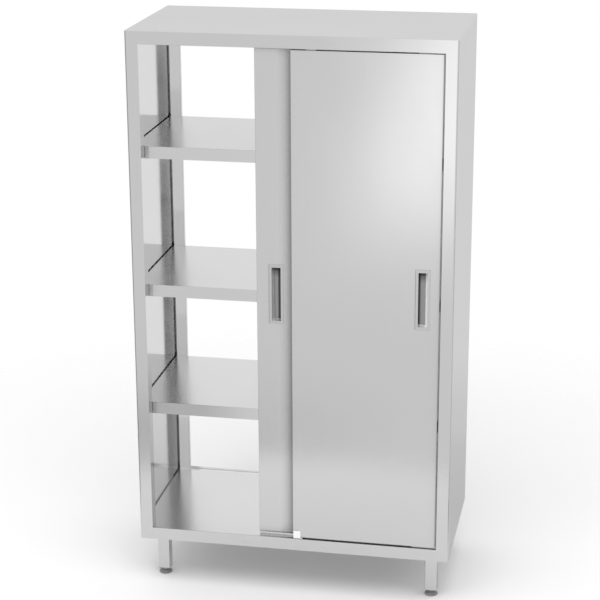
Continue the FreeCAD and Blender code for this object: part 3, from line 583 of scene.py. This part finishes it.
def foot_pad(side, end):
    """A moulded foot: a grooved sole, a rounded rim, a ribbed shoulder and a collar.

    The shoulder swells by half a millimetre times sin(pi s) as s goes from rim to collar, and falls
    by the ribs' depth times (sin pi (0.86 s + 0.07)) ^ 0.5 between one rib and the next.
    """
    node = f"{end}_{side}_foot_pad"
    low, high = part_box(node)
    reach = (high[0] - low[0]) / 2 / MM
    sole = [(2, 0.6), (4, 0.6), (5, 0), (reach - 3.4, 0), (reach - 2.8, 0.5), (reach - 2.2, 0.5)]
    rim = [(reach - 1.6, 0), (reach - 0.9, 0), (reach - 0.3, 0.25), (reach, 0.9),
           (reach, 4.1), (reach - 0.2, 4.6), (reach - 0.8, 4.95), (reach - 1.6, 5.0),
           (reach - 1.9, 5.1), (reach - 2.1, 5.5)]
    along = np.linspace(0, 1, 10)
    shoulder = np.stack([reach - 2.4 - (reach - 13.1) * along,
                         5.8 + 4.9 * along + 0.5 * np.sin(math.pi * along)], axis=1)
    collar = [(10.3, 11.0), (9.9, 11.1), (9.5, 11.6), (9.2, 11.9), (8.8, 12), (5.9, 12), (5.3, 11.7),
              (5.1, 11.2), (5.1, 4.05)]
    radius, height = np.concatenate([sole, rim, shoulder, collar]).T
    ribbed = np.concatenate([np.zeros(len(sole) + len(rim)), np.sin(math.pi * (along * 0.86 + 0.07)) ** 0.5,
                             np.zeros(len(collar))])
    angle = np.linspace(0, 2 * math.pi, PAD_TURNS, endpoint=False)
    between = ramp(-np.cos(RIBS * angle), -0.55, 0.1)
    height = height[:, None] - RIB_DEPTH * ribbed[:, None] * between
    shell = stood(turned(radius, height), middle_of(low, high))
    piece(f"{end}_{side}_ribbed_foot", shell, foot_plastic, f"{end}_{side}_foot", (node,))


# ------------------------------------------------------------------ welds
BEAD, RIPPLE, RIPPLE_LENGTH = 0.0019, 0.0003, 0.0026    # size of a bead, and of the scales on it
DRIFT, DRIFT_RATE = 0.00015, 211                        # how it swells and thins along its way
LEG_BEND = 0.003


def rounded_square(half, bend):
    """Points round a square whose corners are bent, and the way outward at each.

    A side is (half, s) and its corner (half - bend)(1, 1) + bend (cos t, sin t); the other three
    are the same after one, two and three quarter turns.
    """
    straight, turn = np.linspace(bend - half, half - bend, 60), np.linspace(0, math.pi / 2, 9)
    arc = np.stack([np.cos(turn), np.sin(turn)], axis=1)
    flat = np.stack([np.full_like(straight, half), straight], axis=1)
    side = np.concatenate([flat, half - bend + bend * arc])
    outward = np.concatenate([np.tile([1.0, 0.0], (len(flat), 1)), arc])
    quarters = [quarter * math.pi / 2 for quarter in range(4)]
    spins = [np.array([[math.cos(t), math.sin(t)], [-math.sin(t), math.cos(t)]]) for t in quarters]
    return (np.concatenate([points @ spin for spin in spins]) for points in (side, outward))


def leg_bead(side, end):
    """A rippled bead round the top of a leg, where it meets the beam and the rails above.

    Point (u, a) is P(u) + rho(u) (n(u) cos a, -sin a), where P runs round the leg and rho has scales.
    """
    low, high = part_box(f"{end}_{side}_leg")
    path, outward = rounded_square((high[0] - low[0]) / 2 - LIFT, LEG_BEND)
    distance = np.concatenate([[0], np.cumsum(np.hypot(*np.diff(path, axis=0).T))])
    scales = np.abs(np.sin(math.pi * distance / RIPPLE_LENGTH))
    rho = (BEAD + RIPPLE * scales + DRIFT * np.sin(distance * DRIFT_RATE))[:, None]
    sweep = np.linspace(0, math.pi / 2, 7)
    section = np.concatenate([[[0.0, 0.0]], np.stack([np.cos(sweep), -np.sin(sweep)], axis=1)])
    round_leg = path[:, None] + outward[:, None] * (rho * section[:, 0])[..., None]
    round_leg = round_leg + middle_of(low, high)[:2]
    points = np.concatenate([round_leg, (high[2] - LIFT + rho * section[:, 1])[..., None]], axis=-1)
    return points.reshape(-1, 3), quads(len(path), len(section), closed_rows=True, closed_columns=True)


def leg_welds():
    """The beads of all four legs, as one piece."""
    beads = [leg_bead(*corner) for corner in CORNERS]
    piece("leg_weld_beads", joined(beads), weld_steel, "cabinet")


# ------------------------------------------------------------------ screws
PAN_HEAD, PAN_SHANK = 3.8, 1.98         # radii of the hangers' screws
SUNK_HEAD, SUNK_SHANK = 2.78, 1.48      # and of the door guide's
SCREW_TURNS = 96


def screw(head, rise, shank, length, sunk=False):
    """A cross-recessed screw with its head's rim at z = 0 and its shank below, in millimetres.

    The top is rise (1 - fall (r / head)^2), less the recess: full where the distance to an arm's
    middle line is under 0.1 head and the distance along the arm under 0.4 head, and gone at 0.17
    and 0.58 head.
    """
    if sunk:
        rim, fall, sink = [(shank, -head * 0.45), (head * 0.97, -0.12), (head, 0)], 0, 0.75
    else:
        rim, fall, sink = [(shank, 0), (head * 0.97, 0), (head, 0.12), (head, rise * 0.45)], 0.4, 0.7
    outside = level_rows([(shank * 0.5, -length), (shank, shank * 0.6 - length), *rim], SCREW_TURNS)
    angle = np.linspace(0, 2 * math.pi, SCREW_TURNS, endpoint=False)
    radius = np.repeat(np.linspace(0.95, 0.02, 34)[:, None] * head, SCREW_TURNS, axis=1)
    across, along = np.sort(np.abs([radius * np.cos(angle), radius * np.sin(angle)]), axis=0)
    recess = ramp(-across, -0.17 * head, -0.1 * head) * ramp(-along, -0.58 * head, -0.4 * head)
    top = rise * (1 - fall * (radius / head) ** 2) - recess * sink * max(rise, head * 0.3)
    return turned(*stacked_rows(outside, (radius, top)))


def hanger_screws(side):
    """Four pan-headed screws that hold the door's two hangers, seen on its back."""
    node, pair = f"{side}_door_hanger_screws", 0.014
    low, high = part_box(node)
    seat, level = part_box(f"{side}_door_inner_skin")[1][1], (low[2] + high[2]) / 2
    first, last = low[0] + PAN_HEAD * MM, high[0] - PAN_HEAD * MM
    made = screw(PAN_HEAD, (high[1] - seat) / MM, PAN_SHANK, (seat - low[1]) / MM - 0.02)
    places = [(x, seat + LIFT / 2, level) for x in (first, first + pair, last - pair, last)]
    shells = [stood(made, place, "back") for place in places]
    piece(f"{side}_door_cross_screws", joined(shells), plated, f"{side}_door", (node,))


def sill_screws():
    """The two countersunk screws of the door guide."""
    low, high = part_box("guide_screws")
    made = screw(SUNK_HEAD, 0, SUNK_SHANK, (high[2] - low[2]) / MM - 0.05, sunk=True)
    middle, reach = (low[0] + high[0]) / 2, 0.0028
    shells = [stood(made, (middle, y, high[2] - LIFT)) for y in (low[1] + reach, high[1] - reach)]
    piece("guide_cross_screws", joined(shells), plated, "cabinet", ("guide_screws",))


for corner in CORNERS:
    foot_stem(*corner)
    foot_pad(*corner)
leg_welds()
for side in SIDES:
    hanger_screws(side)
sill_screws()


# ------------------------------------------------------------------ stage and camera
def floor_disc():
    """A round pale floor whose rim fades into the white round it, and that is darker in the steel.

    Point (k, t) is (R_k cos t, R_k sin t, 0). The shade painted on it for the steel depends on the place.
    """
    angle = np.linspace(0, 2 * math.pi, 128, endpoint=False)
    rings = np.array([0.001, 1.0, 2.5, 6.0])
    level = np.zeros((len(rings), len(angle)))
    points = np.stack([np.outer(rings, np.cos(angle)), np.outer(rings, np.sin(angle)), level], axis=-1)
    finish = new_finish("pale_floor")
    x, y, _ = finish.axes()
    mirrored = Field(finish, finish.node("ShaderNodeLightPath").outputs["Is Glossy Ray"])
    behind = y.over(-0.3, 0.5)
    # painted shade the steel sees on the floor, deeper behind the cabinet and to the sides
    dark = (1.0 - behind) * 0.127 + behind * x.over(0.0, 0.4) * 0.345 + x.size().over(0.8, 1.15) * 0.523
    in_steel = finish.tint(dark, (0.82, 0.82, 0.82), (0.15, 0.15, 0.15))
    colour = finish.tint(mirrored, (0.93, 0.93, 0.93), in_steel)
    distance = (x * x + y * y).sqrt()
    fade = distance.over(1.5, 2.6) * (1.0 - mirrored) + distance.over(1.2, 1.5) * mirrored
    matt = finish.node("ShaderNodeBsdfDiffuse", None, {"Color": colour})
    clear = finish.node("ShaderNodeBsdfTransparent")
    blend = finish.node("ShaderNodeMixShader", None, {0: fade, 1: matt.outputs[0], 2: clear.outputs[0]})
    finish.node("ShaderNodeOutputMaterial", None, {"Surface": blend.outputs[0]})
    mesh = bpy.data.meshes.new("floor")
    mesh.from_pydata(points.reshape(-1, 3).tolist(), [], quads(*level.shape, closed_columns=True).tolist())
    mesh.materials.append(finish.owner)
    made = bpy.data.objects.new("floor", mesh)
    bpy.context.scene.collection.objects.link(made)


def climb(height, level, *steps):
    """A level that changes by each step's gain as the height goes from its low to its high."""
    for low, high, gain in steps:
        level = height.over(low, high) * gain + level
    return level


def studio_light():
    """White to the eye; in reflections a soft room with one bright window low in front.

    The axes are those of the direction looked in, each from -1 to 1.
    """
    world = bpy.data.worlds.new("studio")
    bpy.context.scene.world = world
    finish = Finish(world)
    x, y, z = finish.axes("Generated")
    behind, right = y.over(-0.3, 0.5), x.over(0.1, 0.25)
    ahead = 1.0 - behind
    walls = climb(z, 0.735, (0.165, 0.21, 0.145), (0.2, 0.42, 0.06))
    ceiling_ahead = z.over(0.5, 0.9) * ahead * 0.3
    low_behind = climb(z, 0.12, (-0.37, -0.33, -0.065)) * z.under(0.0, 0.16) * behind
    dim_corner = ahead * right * x.under(0.4, 0.6) * z.over(0.18, 0.32) * 0.2
    right_behind = climb(z, 0.12, (-0.37, -0.33, 0.08), (0.0, 0.18, -0.465), (0.2, 0.29, 0.3),
                         (0.35, 0.395, -0.43))
    level = walls - ceiling_ahead - low_behind - dim_corner + behind * right * right_behind
    sides = x.size().over(0.4, 0.8) * (1.0 - ahead * x.over(0.0, 0.2)) * 0.5
    skirting = z.band(-0.392, -0.352, 0.018) * ahead * x.under(-0.28, -0.1) * 0.45
    window = (x - (z + 0.21) * 0.3).over(-0.17, -0.115) * z.over(-0.305, -0.225) * z.under(-0.17, -0.08)
    window = window * ahead * x.under(0.0, 0.12) * 0.49
    room = level * (1.0 - sides) * (1.0 - skirting) + window
    path = finish.node("ShaderNodeLightPath").outputs
    eye, gloss = (Field(finish, path[f"Is {kind} Ray"]) for kind in ("Camera", "Glossy"))
    strength = eye + (1.0 - eye) * (gloss * room + (1.0 - gloss) * 0.95)
    light = finish.node("ShaderNodeBackground", None, {"Color": (1, 1, 1, 1), "Strength": strength})
    finish.node("ShaderNodeOutputWorld", None, {"Surface": light.outputs[0]})


def ceiling_lamp():
    """A large square lamp over the front, aimed at the cabinet's middle and not seen in the steel."""
    place, target = np.array((0.1, -1.8, 4.2)), np.array((0, 0, 0.9))
    lamp = bpy.data.lights.new("ceiling_light", "AREA")
    lamp.size, lamp.energy = 3.0, 60
    made = bpy.data.objects.new("ceiling_light", lamp)
    bpy.context.scene.collection.objects.link(made)
    made.location = place
    aim = target - place
    made.rotation_euler = (math.atan2(math.hypot(aim[0], aim[1]), -aim[2]), 0, math.atan2(-aim[0], aim[1]))
    made.visible_glossy = False


def long_lens():
    """The camera, in front to the right and a little over the cabinet."""
    view = bpy.data.cameras.new("camera")
    view.sensor_width, view.lens, view.clip_end = 36.0, 108.74, 60
    made = bpy.data.objects.new("camera", view)
    bpy.context.scene.collection.objects.link(made)
    made.location = (1.0421, -5.4131, 2.6841)
    made.rotation_euler = [math.radians(turn) for turn in (72.157, 0.240, 11.019)]
    bpy.context.scene.camera = made


floor_disc()
studio_light()
ceiling_lamp()
long_lens()
bpy.context.scene.view_settings.view_transform = "Standard"
bpy.context.scene.cycles.max_bounces = bpy.context.scene.cycles.glossy_bounces = 16     # steel faces steel
